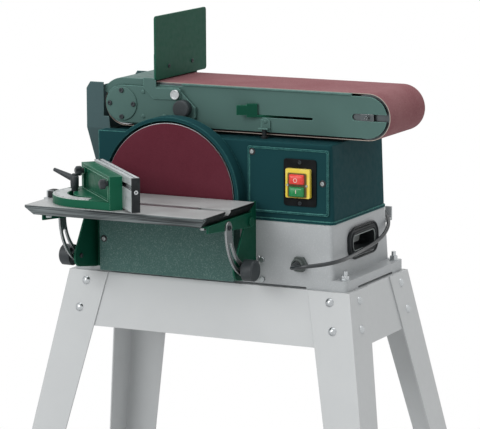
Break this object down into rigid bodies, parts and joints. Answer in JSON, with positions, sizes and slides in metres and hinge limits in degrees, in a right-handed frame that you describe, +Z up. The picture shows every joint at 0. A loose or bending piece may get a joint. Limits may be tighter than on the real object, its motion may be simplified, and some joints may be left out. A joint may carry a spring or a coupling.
{
  "type": "belt and disc sander on stand",
  "caption": "Bench sander on a splayed sheet stand: tilting belt arm over a motor housing, abrasive disc with tilting table and mitre gauge, dust hood and mains lead.",
  "frame": {"origin": "on the floor under the middle of the stand", "axes": "+X to the right along the belt, -Y to the front where the table is, +Z up"},
  "size_m": [0.7772, 0.6008, 1.0636],
  "materials": {
    "stand_grey": "smooth light grey enamel",
    "base_grey": "light grey hammered paint on a casting",
    "deep_green": "dark green enamel, satin",
    "arm_green": "dark green enamel, satin",
    "bracket_green": "green enamel, glossy",
    "cover_green": "green hammered paint with a fine speckle",
    "bright_zinc": "bright zinc plate",
    "steel": "ground steel",
    "black_plastic": "black moulded plastic",
    "knob_plastic": "charcoal moulded plastic",
    "foot_rubber": "black rubber",
    "cord_sheath": "smooth black sheath",
    "belt_rubber": "ribbed black rubber",
    "plug_plastic": "black moulded plastic with brass pins",
    "switch_yellow": "yellow moulded plastic",
    "stop_red": "red moulded plastic",
    "start_green": "green moulded plastic",
    "abrasive_cloth": "maroon abrasive grit on cloth",
    "disc_metal": "turned aluminium",
    "table_iron": "ground top, dark painted edges",
    "motor_paint": "dark grey enamel",
    "fence_metal": "plain extruded aluminium",
    "graphite_steel": "plain steel plate"
  },
  "bodies": {
    "frame": {"stand_legs": "stand_grey", "stand_rails": "stand_grey", "stand_bolts": "bright_zinc", "rubber_feet": "foot_rubber", "base_casting": "base_grey", "carry_handles": "black_plastic", "cable_gland": "black_plastic", "power_cord": "cord_sheath", "cord_coil": "cord_sheath", "cord_plug": "plug_plastic", "motor_housing": "deep_green", "disc_housing": "deep_green", "disc_lower_cover": "cover_green", "cover_screws": "bright_zinc", "switch_panel": "deep_green", "switch_plate": "black_plastic", "switch_body": "switch_yellow", "motor_body": "motor_paint", "drive_belt": "belt_rubber", "drive_cover": "deep_green", "arm_bracket": "deep_green", "arm_rest": "black_plastic", "dust_hood": "deep_green", "trunnion_brackets": "bracket_green"},
    "disc": {"motor_rotor": "steel", "motor_pulley": "disc_metal", "disc_plate": "disc_metal", "abrasive_disc": "abrasive_cloth"},
    "arm": {"arm_front_plate": "arm_green", "arm_rear_plate": "arm_green", "platen": "graphite_steel", "end_plate": "arm_green", "drum_cover": "arm_green", "arm_fasteners": "bright_zinc", "sanding_belt": "abrasive_cloth", "belt_guard": "arm_green", "work_stop": "bracket_green", "stop_bracket": "arm_green", "drum_bearings": "steel", "tension_spring": "steel"},
    "drum": {"drive_drum": "disc_metal", "drum_pulley": "disc_metal"},
    "idler_yoke": {"idler_axle": "graphite_steel"},
    "idler": {"idler_drum": "disc_metal"},
    "tension_lever": {"tension_lever": "bracket_green"},
    "tracking_knob": {"tracking_knob": "knob_plastic"},
    "table": {"table": "table_iron", "table_arms": "bracket_green", "tilt_quadrants": "graphite_steel"},
    "lock_knob_left": {"lock_knob_left": "knob_plastic"},
    "lock_knob_right": {"lock_knob_right": "knob_plastic"},
    "mitre_bar": {"mitre_bar": "steel"},
    "mitre_head": {"mitre_head": "bracket_green", "fence": "fence_metal", "fence_end_caps": "black_plastic"},
    "mitre_lever": {"mitre_lever": "black_plastic"},
    "fence_knob_left": {"fence_knob_left": "knob_plastic"},
    "fence_knob_right": {"fence_knob_right": "knob_plastic"},
    "stop_button": {"stop_button": "stop_red"},
    "start_button": {"start_button": "start_green"}
  },
  "joints": [
    {"name": "disc_spin", "type": "hinge", "parent": "frame", "child": "disc", "pos_m": [-0.066, -0.14, 0.7539], "axis": [0, 1, 0], "continuous": true},
    {"name": "arm_tilt", "type": "hinge", "parent": "frame", "child": "arm", "pos_m": [-0.19, 0, 0.903], "axis": [0, -1, 0], "range_deg": [0, 90]},
    {"name": "drum_spin", "type": "hinge", "parent": "arm", "child": "drum", "pos_m": [-0.19, 0, 0.903], "axis": [0, 1, 0], "continuous": true},
    {"name": "idler_slide", "type": "slide", "parent": "arm", "child": "idler_yoke", "axis": [1, 0, 0], "range_m": [-0.01, 0], "deforming": ["tension_spring"]},
    {"name": "idler_spin", "type": "hinge", "parent": "idler_yoke", "child": "idler", "pos_m": [0.29101, 0, 0.903], "axis": [0, 1, 0], "continuous": true},
    {"name": "tension_swing", "type": "hinge", "parent": "arm", "child": "tension_lever", "pos_m": [0.134, -0.052, 0.8945], "axis": [0, 0, 1], "range_deg": [0, 125]},
    {"name": "tracking_turn", "type": "hinge", "parent": "arm", "child": "tracking_knob", "pos_m": [-0.0637, -0.093, 0.9007], "axis": [0, -1, 0], "range_deg": [-180, 180]},
    {"name": "table_tilt", "type": "hinge", "parent": "frame", "child": "table", "pos_m": [-0.0705, -0.152, 0.718], "axis": [1, 0, 0], "range_deg": [0, 45]},
    {"name": "lock_left_turn", "type": "hinge", "parent": "frame", "child": "lock_knob_left", "pos_m": [-0.245, -0.18877, 0.63915], "axis": [-1, 0, 0], "range_deg": [0, 360]},
    {"name": "lock_right_turn", "type": "hinge", "parent": "frame", "child": "lock_knob_right", "pos_m": [0.115, -0.18877, 0.63915], "axis": [1, 0, 0], "range_deg": [0, 360]},
    {"name": "mitre_slide", "type": "slide", "parent": "table", "child": "mitre_bar", "axis": [1, 0, 0], "range_m": [-0.05, 0.16]},
    {"name": "mitre_swivel", "type": "hinge", "parent": "mitre_bar", "child": "mitre_head", "pos_m": [-0.146, -0.246, 0.76], "axis": [0, 0, 1], "range_deg": [-95, 5]},
    {"name": "mitre_lock", "type": "hinge", "parent": "mitre_bar", "child": "mitre_lever", "pos_m": [-0.198, -0.246, 0.78], "axis": [0, 0, 1], "range_deg": [-15, 40]},
    {"name": "fence_left_turn", "type": "hinge", "parent": "mitre_head", "child": "fence_knob_left", "pos_m": [-0.18701, -0.20499, 0.7988], "axis": [0.7071, 0.7071, 0], "range_deg": [-180, 180]},
    {"name": "fence_right_turn", "type": "hinge", "parent": "mitre_head", "child": "fence_knob_right", "pos_m": [-0.07529, -0.31671, 0.7988], "axis": [0.7071, 0.7071, 0], "range_deg": [-180, 180]},
    {"name": "stop_press", "type": "slide", "parent": "frame", "child": "stop_button", "axis": [0, 1, 0], "range_m": [0, 0.004], "stiffness_N_per_m": 400},
    {"name": "start_press", "type": "slide", "parent": "frame", "child": "start_button", "axis": [0, 1, 0], "range_m": [0, 0.004], "stiffness_N_per_m": 400}
  ],
  "couplings": [
    {"joint": "drum_spin", "follows": "disc_spin", "ratio": 1.5},
    {"joint": "idler_spin", "follows": "disc_spin", "ratio": 1.5},
    {"joint": "idler_slide", "follows": "tension_swing", "m_per_rad": -0.00458}
  ]
}
